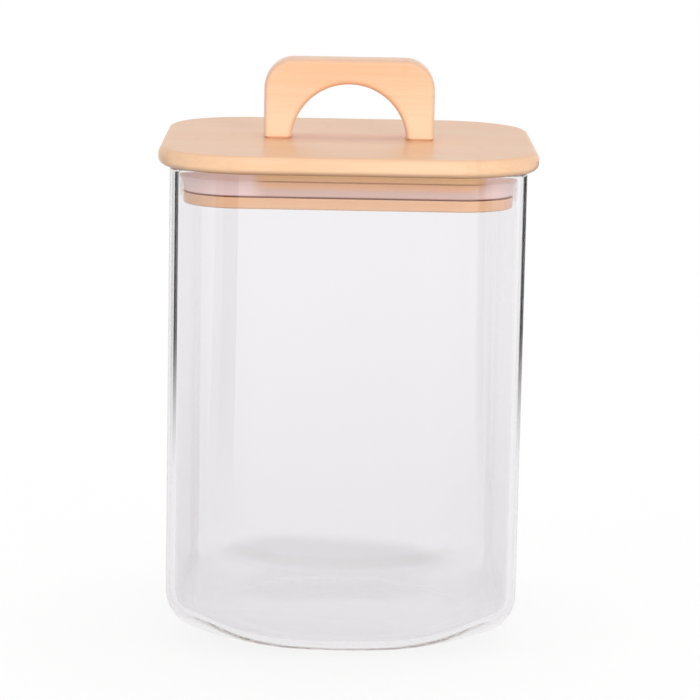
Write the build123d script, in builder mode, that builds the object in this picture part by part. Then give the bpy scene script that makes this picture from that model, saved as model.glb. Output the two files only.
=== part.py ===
"""Square glass canister with a bamboo lid, a silicone lip seal and a bridge handle.

Millimetres, +Z up. The origin is on the table, in the middle of the foot.
The handle runs along X, so that its arch is looked through along Y.
"""

import os
from math import asin, degrees, hypot, radians, sqrt, tan

from build123d import *

# Glass jar
jar_width = 120.0
jar_height = 164.0
jar_corner = 24.0
wall = 3.0
base_thickness = 3.0
heel_radius = 13.0
foot_inset = 16.0
foot_ring_width = 5.0
push_up = 1.2
crown_radius = 40.0
rim_land = 0.5

# Bamboo lid board, which rests on the rim
lid_overhang = 4.0
lid_corner = 31.0
lid_thickness = 6.2
lid_top_round = 2.4
lid_under_round = 2.6

# Bamboo plug under the board, with a groove for the seal above its flange
plug_gap = 1.7
flange_thickness = 3.8
groove_height = 8.2
groove_depth = 3.0
flange_ease = 0.8

# Silicone lip seal, a band low in the groove with a lip that flares up to the glass
seal_fit = 0.1
band_thickness = 1.0
band_height = 4.4
seal_setback = 0.2
seal_ease = 0.6
lip_start = 1.4
lip_root = 3.4
lip_height = 5.6
lip_thickness = 1.6
lip_clearance = 0.2

# Bridge handle
handle_length = 58.6
handle_height = 27.4
handle_depth = 15.0
handle_corner = 10.2
handle_edge_round = 2.0
arch_radius = 19.8
arch_drop = 1.0
foot_ease = 0.7

# Countersunk wood screws that hold the handle from below
screw_diameter = 3.5
screw_head_diameter = 7.0
screw_head_angle = 90.0
screw_grip = 11.0
screw_point = 4.0
screw_clearance = 0.1
recess_length = 3.6
recess_width = 0.8
recess_depth = 1.4

# Heights and plan sizes that follow from the values above
lid_z = jar_height
lid_top_z = lid_z + lid_thickness
flange_top_z = lid_z - groove_height
plug_bottom_z = flange_top_z - flange_thickness
lid_width = jar_width + 2 * lid_overhang
bore_width = jar_width - 2 * wall
bore_corner = jar_corner - wall
flange_width = bore_width - 2 * plug_gap
flange_corner = bore_corner - plug_gap
neck_width = flange_width - 2 * groove_depth
neck_corner = flange_corner - groove_depth
foot_radius = jar_width / 2 - foot_inset

# Screws stand in the middle of the two legs, measured where the legs meet the board
leg_inner = sqrt(arch_radius**2 - arch_drop**2)
screw_spacing = leg_inner + handle_length / 2
screw_radius = screw_diameter / 2
screw_head_radius = screw_head_diameter / 2
hole_radius = screw_radius + screw_clearance
screw_end_z = lid_top_z + screw_grip

os.makedirs("parts", exist_ok=True)


def crowned_block(inset, lift, top):
    """Rounded square block on a turned base: a soft push-up, a flat ring, and a crown that curls up.

    The inset moves the sides in and the lift moves the base up, so that one form gives both
    the outside of the jar and its hollow, with even glass between them.
    """
    width = jar_width - 2 * inset
    crown = crown_radius - lift
    ring_reach = foot_radius - foot_ring_width
    halfway = (ring_reach / 2, lift + push_up / 2)
    ring_inner = (ring_reach, lift)
    ring_outer = (foot_radius, lift)
    with BuildPart() as block:
        with BuildSketch():
            RectangleRounded(width, width, jar_corner - inset)
        extrude(amount=top)
        with BuildSketch(Plane.XZ):
            with BuildLine():
                dome = TangentArc((0, lift + push_up), halfway, tangent=(1, 0))
                TangentArc(halfway, ring_inner, tangent=dome % 1)
                Line(ring_inner, ring_outer)
                curl = JernArc(ring_outer, (1, 0), crown, 90)
                Polyline(curl @ 1, ((curl @ 1).X, top), (0, top), dome @ 0)
            make_face()
        revolve(axis=Axis.Z, mode=Mode.INTERSECT)

        def on_heel(edge):
            middle = edge.center()
            return hypot(middle.X, middle.Y) > width / 2 - wall and middle.Z < lift + crown

        fillet(block.edges().filter_by(on_heel), heel_radius - inset)
    return block.part


# Glass jar: even wall, crowned base, and a fire-polished rim with a narrow flat land
with BuildPart() as glass_jar:
    add(crowned_block(0, 0, jar_height))
    add(crowned_block(wall, base_thickness, jar_height + wall), mode=Mode.SUBTRACT)
    rim = glass_jar.faces().sort_by(Axis.Z)[-1]
    fillet(rim.edges(), (wall - rim_land) / 2)
glass_jar.part.label = "glass_jar"
export_step(glass_jar.part, "parts/glass_jar.step")

# Lid board, with a through hole over each leg of the handle
with BuildPart() as lid_board:
    with BuildSketch(Plane.XY.offset(lid_z)):
        RectangleRounded(lid_width, lid_width, lid_corner)
    extrude(amount=lid_thickness)
    fillet(lid_board.faces().sort_by(Axis.Z)[-1].edges(), lid_top_round)
    fillet(lid_board.faces().sort_by(Axis.Z)[0].edges(), lid_under_round)
    with BuildSketch(Plane.XY.offset(lid_z)):
        with GridLocations(screw_spacing, 0, 2, 1):
            Circle(hole_radius)
    extrude(amount=lid_thickness, mode=Mode.SUBTRACT)
lid_board.part.label = "lid_board"
export_step(lid_board.part, "parts/lid_board.step")

# Lid plug: a flange with eased edges, and the neck that the seal sits round
with BuildPart() as lid_plug:
    with BuildSketch(Plane.XY.offset(plug_bottom_z)):
        RectangleRounded(flange_width, flange_width, flange_corner)
    extrude(amount=flange_thickness)
    fillet(lid_plug.faces().sort_by(Axis.Z)[0].edges(), flange_ease)
    with BuildSketch(Plane.XY.offset(flange_top_z)):
        RectangleRounded(neck_width, neck_width, neck_corner)
    extrude(amount=groove_height)
    with Locations(Plane(origin=(0, 0, plug_bottom_z), z_dir=(0, 0, -1))):
        with GridLocations(screw_spacing, 0, 2, 1):
            CounterSinkHole(hole_radius, screw_head_radius + screw_clearance, None, screw_head_angle)
lid_plug.part.label = "lid_plug"
export_step(lid_plug.part, "parts/lid_plug.step")

# Lip seal: one section carried round the neck, its lip an arc that leaves the band upright
seal_inner = neck_width / 2 + seal_fit
seal_foot = flange_width / 2 - seal_setback
lip_tip = bore_width / 2 - lip_clearance
lip_run = lip_tip - seal_foot
lip_rise = lip_height - lip_start
lip_radius = (lip_run**2 + lip_rise**2) / (2 * lip_run)
lip_back_radius = lip_radius + lip_thickness
lip_sweep = degrees(asin(lip_rise / lip_radius))
root_sweep = degrees(asin((lip_root - lip_start) / lip_back_radius))

with BuildPart() as seal_ring:
    with BuildLine(Plane.XY.offset(flange_top_z)) as groove_path:
        half_way = FilletPolyline(
            (seal_inner, 0),
            (seal_inner, seal_inner),
            (-seal_inner, seal_inner),
            (-seal_inner, 0),
            radius=neck_corner + seal_fit,
        )
        mirror(half_way, about=Plane.XZ)
    with BuildSketch(Plane((0, 0, flange_top_z), x_dir=(1, 0, 0), z_dir=(0, -1, 0))):
        with BuildLine():
            lip_centre = (seal_foot + lip_radius, lip_start)
            front = CenterArc(lip_centre, lip_radius, 180, -lip_sweep)
            back = CenterArc(lip_centre, lip_back_radius, 180 - root_sweep, root_sweep - lip_sweep)
            Line(front @ 1, back @ 1)
            Polyline(
                back @ 0,
                (seal_inner + band_thickness, lip_root),
                (seal_inner + band_thickness, band_height),
                (seal_inner, band_height),
                (seal_inner, 0),
                (seal_foot - seal_ease, 0),
                (seal_foot, seal_ease),
                front @ 0,
            )
        make_face()
    sweep(path=groove_path.wires()[0])
seal_ring.part.label = "seal_ring"
export_step(seal_ring.part, "parts/seal_ring.step")

# Bridge handle: a block with round shoulders over a finger arch, with eased feet drilled for the screws
with BuildPart() as handle:
    with BuildSketch(Plane((0, 0, lid_top_z), x_dir=(1, 0, 0), z_dir=(0, -1, 0))) as bridge:
        Rectangle(handle_length, handle_height, align=(Align.CENTER, Align.MIN))
        fillet(bridge.vertices().group_by(Axis.Y)[-1], handle_corner)
        with Locations((0, -arch_drop)):
            Circle(arch_radius, mode=Mode.SUBTRACT)
    extrude(amount=handle_depth / 2, both=True)
    outlines = handle.faces().filter_by(Axis.Y).edges()
    fillet(outlines - outlines.group_by(Axis.Z)[0], handle_edge_round)
    soles = handle.faces().group_by(Axis.Z)[0]
    chamfer(soles.edges(), foot_ease)
    with BuildSketch(Plane.XY.offset(lid_top_z)):
        with GridLocations(screw_spacing, 0, 2, 1):
            Circle(hole_radius)
    extrude(amount=screw_grip + screw_clearance, mode=Mode.SUBTRACT)
handle.part.label = "handle"
export_step(handle.part, "parts/handle.step")

# One countersunk screw with a cross recess, head flush with the plug's underside
head_height = (screw_head_radius - screw_radius) / tan(radians(screw_head_angle / 2))
with BuildPart() as wood_screw:
    with BuildSketch(Plane.XZ):
        with BuildLine():
            Polyline(
                (0, plug_bottom_z),
                (screw_head_radius, plug_bottom_z),
                (screw_radius, plug_bottom_z + head_height),
                (screw_radius, screw_end_z - screw_point),
                (0, screw_end_z),
                close=True,
            )
        make_face()
    revolve(axis=Axis.Z)
    with BuildSketch(Plane.XY.offset(plug_bottom_z)):
        Rectangle(recess_length, recess_width)
        Rectangle(recess_width, recess_length)
    extrude(amount=recess_depth, mode=Mode.SUBTRACT)

# The pair of screws
with BuildPart() as handle_screws:
    with GridLocations(screw_spacing, 0, 2, 1):
        add(wood_screw.part)
handle_screws.part.label = "handle_screws"
export_step(handle_screws.part, "parts/handle_screws.step")
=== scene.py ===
"""Looks of a square glass canister with a bamboo lid, laid out as a Blender add-on.

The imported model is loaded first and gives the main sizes, and each operator builds one piece of it.
Lengths are in metres, +Z is up, and the origin is on the table in the middle of the foot.
"""

import math
from collections import namedtuple

import bmesh
import bpy
from bpy.props import FloatProperty, FloatVectorProperty, IntProperty, PointerProperty
from mathutils import Color, Matrix, Quaternion, Vector


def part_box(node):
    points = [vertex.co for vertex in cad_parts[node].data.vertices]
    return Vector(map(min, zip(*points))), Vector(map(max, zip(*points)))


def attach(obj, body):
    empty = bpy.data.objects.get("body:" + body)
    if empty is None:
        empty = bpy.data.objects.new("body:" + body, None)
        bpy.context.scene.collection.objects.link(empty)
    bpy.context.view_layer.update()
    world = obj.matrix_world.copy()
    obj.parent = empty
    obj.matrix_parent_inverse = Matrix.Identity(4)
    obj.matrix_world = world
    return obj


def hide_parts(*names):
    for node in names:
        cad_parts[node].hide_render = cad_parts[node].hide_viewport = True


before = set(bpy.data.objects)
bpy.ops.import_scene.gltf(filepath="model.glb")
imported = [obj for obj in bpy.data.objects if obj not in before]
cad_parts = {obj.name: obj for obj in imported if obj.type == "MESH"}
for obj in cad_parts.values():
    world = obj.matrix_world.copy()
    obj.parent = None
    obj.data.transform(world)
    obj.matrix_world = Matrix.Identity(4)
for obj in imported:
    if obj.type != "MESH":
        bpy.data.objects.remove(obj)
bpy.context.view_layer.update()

bl_info = {
    "name": "Glass Canister",
    "version": (1, 0, 0),
    "blender": (4, 5, 0),
    "location": "3D View > Sidebar > Canister",
    "description": "Builds a square glass canister with a sealed bamboo lid",
    "category": "Add Mesh",
}

MM = 0.001
UP = Vector((0, 0, 1))
QUARTER_TURN = math.pi / 2

# Fineness of the meshes
SIDE_STEPS = 28
CORNER_STEPS = 24
ROUND_STEPS = 8
HEEL_STEPS = 12
CROWN_STEPS = 6
PUSH_STEPS = 12
WALL_STEPS = 6
HOLE_STEPS = 32
SHOULDER_STEPS = 16
ARCH_STEPS = 48
SCREW_TURN_POINTS = 41
SCREW_LENGTH_POINTS = 170
SHARP_ANGLE = math.radians(32)

# Width of the flat strip beside a rounded edge, which keeps the shading of the flat face even
EDGE_STRIP = 0.4 * MM

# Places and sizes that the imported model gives
JAR_LOW, JAR_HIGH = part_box("glass_jar")
BOARD_LOW, BOARD_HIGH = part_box("lid_board")
PLUG_LOW, PLUG_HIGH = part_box("lid_plug")
SEAL_LOW, SEAL_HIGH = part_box("seal_ring")
HANDLE_LOW, HANDLE_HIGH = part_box("handle")
SCREWS_LOW, SCREWS_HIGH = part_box("handle_screws")


def length(name, description, default):
    """A property that holds a size."""
    return FloatProperty(name=name, description=description, default=default, unit="LENGTH", precision=4)


def angle(name, description, degrees):
    """A property that holds an angle, given in degrees."""
    return FloatProperty(name=name, description=description, default=math.radians(degrees), subtype="ANGLE")


def amount(name, description, default):
    """A property that holds a plain number."""
    return FloatProperty(name=name, description=description, default=default)


def colour(name, description, red, green, blue):
    """A property that holds a colour, given as it looks on a screen, from 0 to 255."""
    screen = Color((red / 255, green / 255, blue / 255))
    linear = tuple(screen.from_srgb_to_scene_linear())
    return FloatVectorProperty(
        name=name, description=description, default=linear, subtype="COLOR", min=0, max=1
    )


class JarSettings(bpy.types.PropertyGroup):
    """Sizes and tint of the glass jar."""

    width: length("Width", "Outside width of the jar", JAR_HIGH.x - JAR_LOW.x)
    height: length("Height", "Height of the rim above the table", JAR_HIGH.z)
    corner: length("Corner", "Radius of the upright corners", 24 * MM)
    wall: length("Wall", "Thickness of the wall", 3 * MM)
    base: length("Base", "Thickness of the base", 3 * MM)
    heel: length("Heel", "Radius between the wall and the base", 13 * MM)
    foot_inset: length("Foot inset", "From the wall in to the edge of the flat foot", 16 * MM)
    foot_ring: length("Foot ring", "Width of the ring that touches the table", 5 * MM)
    push_up: length("Push-up", "Rise of the base inside the foot ring", 1.2 * MM)
    crown: length("Crown", "Radius of the base outside the foot", 40 * MM)
    rim_land: length("Rim land", "Flat width on top of the rim", 0.5 * MM)
    clear: colour("Clear", "Tint of the glass at its clearest", 249, 248, 249)
    # Grey of random streaks, and also painted shade where the glass is greyer low down and at the corners
    cloudy_and_shaded: colour("Cloudy", "Tint of the glass where it draws thicker", 243, 242, 244)
    thick: colour("Thick", "Tint of the glass in the base", 248, 247, 248)
    # Painted shade: a grey band in the heel, greyest at the back
    heel_shade: colour("Heel tint", "Tint of the glass where the wall meets the heel", 228, 227, 229)
    # The next two tints are painted shade: where the glass is looked through at a slant, and where the wall
    # is looked along
    edge: colour("Edge", "Tint of the glass that is looked through at a slant", 241, 240, 241)
    grazed_shade: colour("Grazed", "Tint of the wall that is looked along, most of all low down", 221, 217, 220)
    bend: amount("Refraction", "Refractive index of the glass", 1.47)
    cast: colour("Cast", "Colour that the glass takes on where light runs far inside it", 192, 186, 190)
    density: amount("Density", "How fast light inside the glass takes on its cast, per metre", 1)


class LidSettings(bpy.types.PropertyGroup):
    """Sizes of the lid's board and of the plug below it."""

    board_corner: length("Board corner", "Radius of the board's corners in plan", 31 * MM)
    top_round: length("Top round", "Radius along the board's upper edge", 2.4 * MM)
    under_round: length("Under round", "Radius along the board's lower edge", 2.6 * MM)
    plug_corner: length("Plug corner", "Radius of the plug's corners in plan", 19.3 * MM)
    groove_depth: length("Groove depth", "From the flange's edge in to the neck", 3 * MM)
    flange_ease: length("Flange ease", "Radius along the flange's lower edge", 0.8 * MM)


class SealSettings(bpy.types.PropertyGroup):
    """Sizes and colours of the silicone lip seal."""

    fit: length("Fit", "Clearance of the seal on the neck", 0.1 * MM)
    band: length("Band", "Thickness of the band on the neck", 1 * MM)
    band_height: length("Band height", "Height of the band on the neck", 4.4 * MM)
    setback: length("Setback", "From the flange's edge in to the seal's foot", 0.2 * MM)
    lip_start: length("Lip start", "Height where the lip leaves the foot", 1.4 * MM)
    lip_root: length("Lip root", "Height of the notch behind the lip", 3.4 * MM)
    lip_height: length("Lip height", "Height of the lip's tip", 5.6 * MM)
    lip_thickness: length("Lip thickness", "Thickness of the lip", 1.6 * MM)
    foot_ease: length("Foot ease", "Bevel along the lower edge of the foot", 0.6 * MM)
    pale: colour("Pale", "Silicone at the corners, clear of the wood", 250, 219, 212)
    # Painted shade down in the groove, at the seal's foot
    shaded: colour("Shaded", "Silicone down in the groove", 150, 106, 96)
    backed: colour("Backed", "Silicone with the wood close behind it", 227, 193, 178)
    warm: colour("Warm", "Thin silicone that the wood shows through", 250, 194, 146)
    # Painted shade: a dark line where the lip's edge meets the glass
    tip: colour("Tip", "Silicone where the lip's edge meets the glass", 190, 138, 92)
    # Painted light: the lip's cut end is painted lighter, as if lit
    end: colour("End", "Cut end of the lip, above its edge", 255, 213, 158)


class HandleSettings(bpy.types.PropertyGroup):
    """Sizes of the bridge handle."""

    corner: length("Corner", "Radius of the shoulders", 10.2 * MM)
    edge_round: length("Edge round", "Radius along the edges", 2 * MM)
    arch_radius: length("Arch radius", "Radius of the finger arch", 19.8 * MM)
    arch_drop: length("Arch drop", "How far the arch's centre lies below the board", 1 * MM)
    foot_ease: length("Foot ease", "Bevel round the feet, which leaves a fine shadow line", 0.7 * MM)


class ScrewSettings(bpy.types.PropertyGroup):
    """Sizes and colours of the two screws under the handle."""

    shank: length("Shank", "Diameter over the thread", 3.5 * MM)
    head: length("Head", "Diameter of the countersunk head", 7 * MM)
    grip: length("Grip", "Length of screw inside the handle", 11 * MM)
    point: length("Point", "Length of the point", 4 * MM)
    clearance: length("Clearance", "Room round the screw in its hole", 0.1 * MM)
    pitch: length("Pitch", "Rise of one turn of the thread", 1.3 * MM)
    thread_depth: length("Thread depth", "Height of the thread's ridge", 0.45 * MM)
    recess_length: length("Recess length", "Length of each arm of the cross recess", 3.6 * MM)
    recess_width: length("Recess width", "Width of each arm of the cross recess", 0.8 * MM)
    recess_depth: length("Recess depth", "Depth of the cross recess", 1.4 * MM)
    steel: colour("Steel", "Bare steel", 196, 197, 200)
    dull: colour("Dull steel", "Steel where the plating is dull", 150, 152, 156)


class BambooSettings(bpy.types.PropertyGroup):
    """Colours and grain of the bamboo."""

    pale: colour("Pale", "Palest strips", 254, 222, 187)
    deep: colour("Deep", "Deepest strips", 248, 195, 152)
    fibre: colour("Fibre", "Fibres and joints in the stalk", 222, 166, 116)
    # Painted shade and sheen laid on the rounded edges of the handle and the flange
    edge: colour("Edge", "Handled edges of the handle and the flange", 224, 180, 160)
    # Painted shadow along the lower round of the board, above the glass rim
    under: colour("Under", "Lower edge of the board", 124, 80, 46)
    strip: length("Strip", "Width of one strip in the board", 15 * MM)
    ply: length("Ply", "Height of one strip in the handle", 7 * MM)
    gloss: amount("Roughness", "Roughness of the lacquer", 0.27)


class StageSettings(bpy.types.PropertyGroup):
    """Camera, lamps and floor."""

    azimuth: angle("Azimuth", "Turn of the camera round the object", -0.2)
    elevation: angle("Elevation", "Height of the camera above the horizon", 10.72)
    roll: angle("Roll", "Clockwise turn of the picture", 1.07)
    distance: length("Distance", "From the camera to the middle of the jar", 1.144)
    focal_pixels: amount("Focal length", "Focal length in pixels of the picture", 3262)
    middle_x: amount("Middle across", "Pixel column of the middle of the jar", 344.1)
    middle_y: amount("Middle down", "Pixel row of the middle of the jar", 387.7)
    picture: IntProperty(name="Picture", description="Pixels across and down the picture", default=700)
    floor: colour("Floor", "Colour of the floor's matte share", 243, 243, 243)
    gap: length("Gap", "Hair's breadth between the foot and the floor", 0.1 * MM)
    shadow: amount("Shadow", "Share of the floor that shows the object's shadow", 0.3)
    key: amount("Key lamp", "Light on a surface that faces the lamp on the front right", 0.5)
    fill: amount("Fill lamp", "Light on a surface that faces the lamp on the left", 0.2)
    top: amount("Top lamp", "Light on a surface that faces the lamp above", 0.235)
    key_spread: angle("Key spread", "How wide the key lamp looks from the object", 14)
    spread: angle("Spread", "How wide the other lamps look from the object", 50)
    ambient: amount("Ambient", "Light from all round", 0.42)
    lane_start: length("Lane start", "From the jar to where a dark lane on the floor begins", 0.24)
    lane_full: length("Lane full", "From the jar to where a lane is quite dark", 0.66)
    lane_end: length("Lane end", "From the jar to the far end of a lane", 1.8)
    left_near: angle("Left near", "Bearing of the near side of the lane behind a left edge", 34.5)
    left_wall: angle("Left wall", "Bearing of its far side, as the wall mirrors it", 49)
    left_face: angle("Left face", "Bearing of its far side, as the face of the glass mirrors it", 56)
    right_near: angle("Right near", "Bearing of the near side of the lane behind a right edge", -1)
    right_wall: angle("Right wall", "Bearing of its far side, as the wall mirrors it", -26)
    right_face: angle("Right face", "Bearing of its far side, as the face of the glass mirrors it", -36)
    turns: IntProperty(name="Turns", description="How often light may turn inside the glass", default=400)


class CanisterSettings(bpy.types.PropertyGroup):
    """All the settings of the canister."""

    jar: PointerProperty(type=JarSettings, name="Jar", description="The glass jar")
    lid: PointerProperty(type=LidSettings, name="Lid", description="The lid's board and plug")
    seal: PointerProperty(type=SealSettings, name="Seal", description="The lip seal")
    handle: PointerProperty(type=HandleSettings, name="Handle", description="The bridge handle")
    screws: PointerProperty(type=ScrewSettings, name="Screws", description="The two screws")
    bamboo: PointerProperty(type=BambooSettings, name="Bamboo", description="The wood")
    stage: PointerProperty(type=StageSettings, name="Stage", description="Camera, lamps and floor")


def forward(operation):
    """A method that adds a Math node with its own signal first."""
    return lambda signal, *others: signal.math(operation, signal, *others)


def reflected(operation):
    """A method that adds a Math node with its own signal second, after a number."""
    return lambda signal, number: signal.math(operation, number, signal)


class Signal:
    """A node's output that takes part in Python arithmetic, with one Math node for each operator."""

    __add__, __radd__ = forward("ADD"), reflected("ADD")
    __sub__, __rsub__ = forward("SUBTRACT"), reflected("SUBTRACT")
    __mul__, __rmul__ = forward("MULTIPLY"), reflected("MULTIPLY")
    __truediv__, __rtruediv__ = forward("DIVIDE"), reflected("DIVIDE")
    __pow__, __rpow__ = forward("POWER"), reflected("POWER")
    __gt__, __lt__ = forward("GREATER_THAN"), reflected("GREATER_THAN")
    __abs__, __floor__ = forward("ABSOLUTE"), forward("FLOOR")
    least, most = forward("MINIMUM"), forward("MAXIMUM")
    sine, cosine, sign = forward("SINE"), forward("COSINE"), forward("SIGN")

    def __init__(self, graph, socket):
        self.graph = graph
        self.socket = socket

    def math(self, operation, *values):
        """Add a Math node on the values, in their order."""
        return self.graph.node("ShaderNodeMath", {"operation": operation}, dict(enumerate(values)))

    def equals(self, number):
        """1 where a count is the number, and 0 elsewhere."""
        return self.math("COMPARE", self, number, 0.5)

    def fade(self, start, stop):
        """0 before start, 1 after stop and a smooth rise between them."""
        inputs = {"Value": self, "From Min": start, "From Max": stop}
        return self.graph.node("ShaderNodeMapRange", {"interpolation_type": "SMOOTHSTEP"}, inputs)


def opaque(values):
    """A colour property with full alpha."""
    return (*values, 1.0)


class Graph:
    """A node tree under construction."""

    def __init__(self, tree):
        self.tree = tree

    def node(self, kind, settings=(), inputs=(), output=0):
        """Add a node and give one of its outputs.

        Its settings are set first, and then each socket gets its value, its link or its list of links.
        """
        made = self.tree.nodes.new(kind)
        for name, value in dict(settings).items():
            setattr(made, name, value)
        for name, value in dict(inputs).items():
            links = value if isinstance(value, list) else [value]
            if isinstance(links[0], Signal):
                for link in links:
                    self.tree.links.new(link.socket, made.inputs[name])
            else:
                made.inputs[name].default_value = value
        return Signal(self, made.outputs[output]) if len(made.outputs) else None

    def split(self, vector):
        """The X, Y and Z of a vector."""
        parts = self.node("ShaderNodeSeparateXYZ", inputs={0: vector}).socket.node
        return [Signal(self, socket) for socket in parts.outputs]

    def axes(self, scale):
        """The object's own X, Y and Z, each times scale."""
        place = self.node("ShaderNodeTexCoord", output="Object")
        return [axis * scale for axis in self.split(place)]

    def vector(self, x, y, z):
        """A vector from its three parts."""
        return self.node("ShaderNodeCombineXYZ", inputs={0: x, 1: y, 2: z})

    def noise(self, x, y, z, detail=2.0, roughness=0.5):
        """Smooth noise from 0 to 1, with a cell of one unit."""
        inputs = {"Vector": self.vector(x, y, z), "Scale": 1.0, "Detail": detail, "Roughness": roughness}
        return self.node("ShaderNodeTexNoise", inputs=inputs)

    def chance(self, number):
        """A number from 0 to 1 that is fixed for each whole number."""
        return self.node("ShaderNodeTexWhiteNoise", {"noise_dimensions": "1D"}, {"W": number})

    def blend(self, share, first, second):
        """The first colour where share is 0 and the second where it is 1."""
        first, second = [tint if isinstance(tint, Signal) else opaque(tint) for tint in (first, second)]
        inputs = {0: share, 6: first, 7: second}
        return self.node("ShaderNodeMix", {"data_type": "RGBA"}, inputs, output=2)

    def bump(self, height, strength, depth):
        """Normals that follow a fine relief of the given depth."""
        inputs = {"Height": height, "Strength": strength, "Distance": depth}
        return self.node("ShaderNodeBump", inputs=inputs)

    def mixed(self, share, first, second):
        """The first shader where share is 0 and the second where it is 1."""
        return self.node("ShaderNodeMixShader", inputs={0: share, 1: first, 2: second})

    def light_path(self, name):
        """What is known of the ray that meets the surface."""
        return self.node("ShaderNodeLightPath", output=name)

    def seen(self):
        """1 for rays from the camera and for those that mirror or pass through a surface."""
        mirrored = self.light_path("Is Glossy Ray").most(self.light_path("Is Transmission Ray"))
        return self.light_path("Is Camera Ray").most(mirrored)


class MaterialGraph(Graph):
    """The nodes of a new material."""

    def __init__(self, name):
        self.material = bpy.data.materials.new(name)
        self.material.use_nodes = True
        super().__init__(self.material.node_tree)
        self.tree.nodes.clear()

    def finish(self, **shaders):
        """End the material on its shaders, such as its Surface and what fills it, and give it back."""
        self.node("ShaderNodeOutputMaterial", inputs=shaders)
        return self.material


# Where the tints of the glass begin and where they are full, most of them painted shade: heights and
# reaches in millimetres, and slants from 0, where the glass faces the eye, to 1
WALL_RISE = (20.0, 130.0)
BASE_RISE = (5.0, 16.0)
HEEL_RISE = (2.0, 10.0)
HEEL_TOP = (11.0, 16.5)
GRAZED_RISE = (4.0, 14.0)
CORNER_REACH = (30.0, 50.0)
LIT_RIGHT_REACH = (0.0, 50.0)
BACK_REACH = (-30.0, 30.0)
HEEL_END_REACH = (26.0, 50.0)
PAST_FOOT = (3.0, 9.0)
HEEL_WIDTH = 8.0
EDGE_SLANT = (0.2, 0.6)
GRAZED_SLANT = (0.46, 0.64)

# The painted shade band in the heel: its fall to the right, and its drop towards both ends as a rate and a
# height
HEEL_FALL = 0.05
DROP_RATE = 0.0185
END_DROP = 14.0


def glass_finish(jar):
    """Clear glass that lets the lamps through, a little grey in random streaks.

    Its tint also carries painted shade: greyer low down and at the corners, where it is looked through at a
    slant and most where it is looked along, and in a band in the heel that is greyest at the back. The
    corner and grazed shades are weaker on the right, where the key lamp falls.
    """
    graph = MaterialGraph("clear_glass")
    x, y, z = graph.axes(1 / MM)
    # Painted shade: greyer low down and at the corners, with the corner shade weaker on the right, where
    # the key lamp falls; the streaks are random
    low = 1 - z.fade(*WALL_RISE)
    right = x.fade(*LIT_RIGHT_REACH)
    outward, along = abs(x).most(abs(y)), abs(x).least(abs(y))
    corner = along.fade(*CORNER_REACH) * (0.2 + low * 0.4) * (1 - right * 0.6)
    streaks = graph.noise(x * 0.02, y * 0.02, z * 0.008)
    cloud_and_shade = (low * 0.6 + corner + streaks * 0.3).least(1.0)
    tint = graph.blend(cloud_and_shade, jar.clear, jar.cloudy_and_shaded)

    foot = (jar.width / 2 - jar.foot_inset) / MM
    disc_full, disc_end = [foot + past for past in PAST_FOOT]
    disc = 1 - ((x * x + y * y) ** 0.5).fade(disc_full, disc_end)
    tint = graph.blend(disc * (1 - z.fade(*BASE_RISE)), tint, jar.thick)

    # Painted shade: a grey band in the heel, greyest at the back, which falls to the right and drops
    # towards both ends
    level = z + x * HEEL_FALL + (along * DROP_RATE) ** 4.0 * END_DROP
    band = (1 - level.fade(*HEEL_TOP)) * (0.5 + level.fade(*HEEL_RISE) * 0.5)
    heel = outward.fade(foot, foot + HEEL_WIDTH) * band
    behind = (0.1 + y.fade(*BACK_REACH) * 0.9) * (1 - along.fade(*HEEL_END_REACH) * 0.6)
    tint = graph.blend(heel * behind, tint, jar.heel_shade)

    # Painted shade: greyer at a slant, and most where the wall is looked along low down, less on the right
    # where the key lamp falls
    slant = graph.node("ShaderNodeLayerWeight", inputs={"Blend": 0.5}, output="Facing")
    tint = graph.blend(slant.fade(*EDGE_SLANT), tint, jar.edge)
    grazed_shade = slant.fade(*GRAZED_SLANT) * z.fade(*GRAZED_RISE) * (0.45 + low * 0.55) * (1 - right * 0.3)
    tint = graph.blend(grazed_shade, tint, jar.grazed_shade)

    glass = graph.node(
        "ShaderNodeBsdfPrincipled",
        inputs={"Base Color": tint, "Roughness": 0.0, "IOR": jar.bend, "Transmission Weight": 1.0},
    )
    open_glass = graph.node("ShaderNodeBsdfTransparent", inputs={"Color": opaque(jar.clear)})
    shown = graph.mixed(graph.light_path("Is Shadow Ray"), glass, open_glass)
    inside = {"Color": opaque(jar.cast), "Density": jar.density}
    return graph.finish(Surface=shown, Volume=graph.node("ShaderNodeVolumeAbsorption", inputs=inside))


# How the tone of the bamboo deepens, from light at a low height above the table to dark at a high one.
# The heights are in millimetres, and the tones are shares from pale to deep.
Deepening = namedtuple("Deepening", "low high light dark")

# Marks of the bamboo: from the middle of a strip out to its seam, as a share of the strip's width, the
# noise that shows as vessels, and the joints of the stalk, as lengths in millimetres
SEAM = (0.475, 0.5)
VESSELS = (0.62, 0.74)
JOINT_GAP = 130.0
JOINT_WIDTH = (0.3, 1.6)

# Slopes of the rounded edges that get painted shade and sheen, as parts of the surface's normal, and the
# height of the lower edge that gets a painted shadow
ROUND_START = (0.03, 0.28)
ROUND_END = (0.05, 0.5)
UNDER_SLOPE = (-0.995, -0.93)
UNDER_SHADOW_RISE = (-0.8, 2.4)


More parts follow.
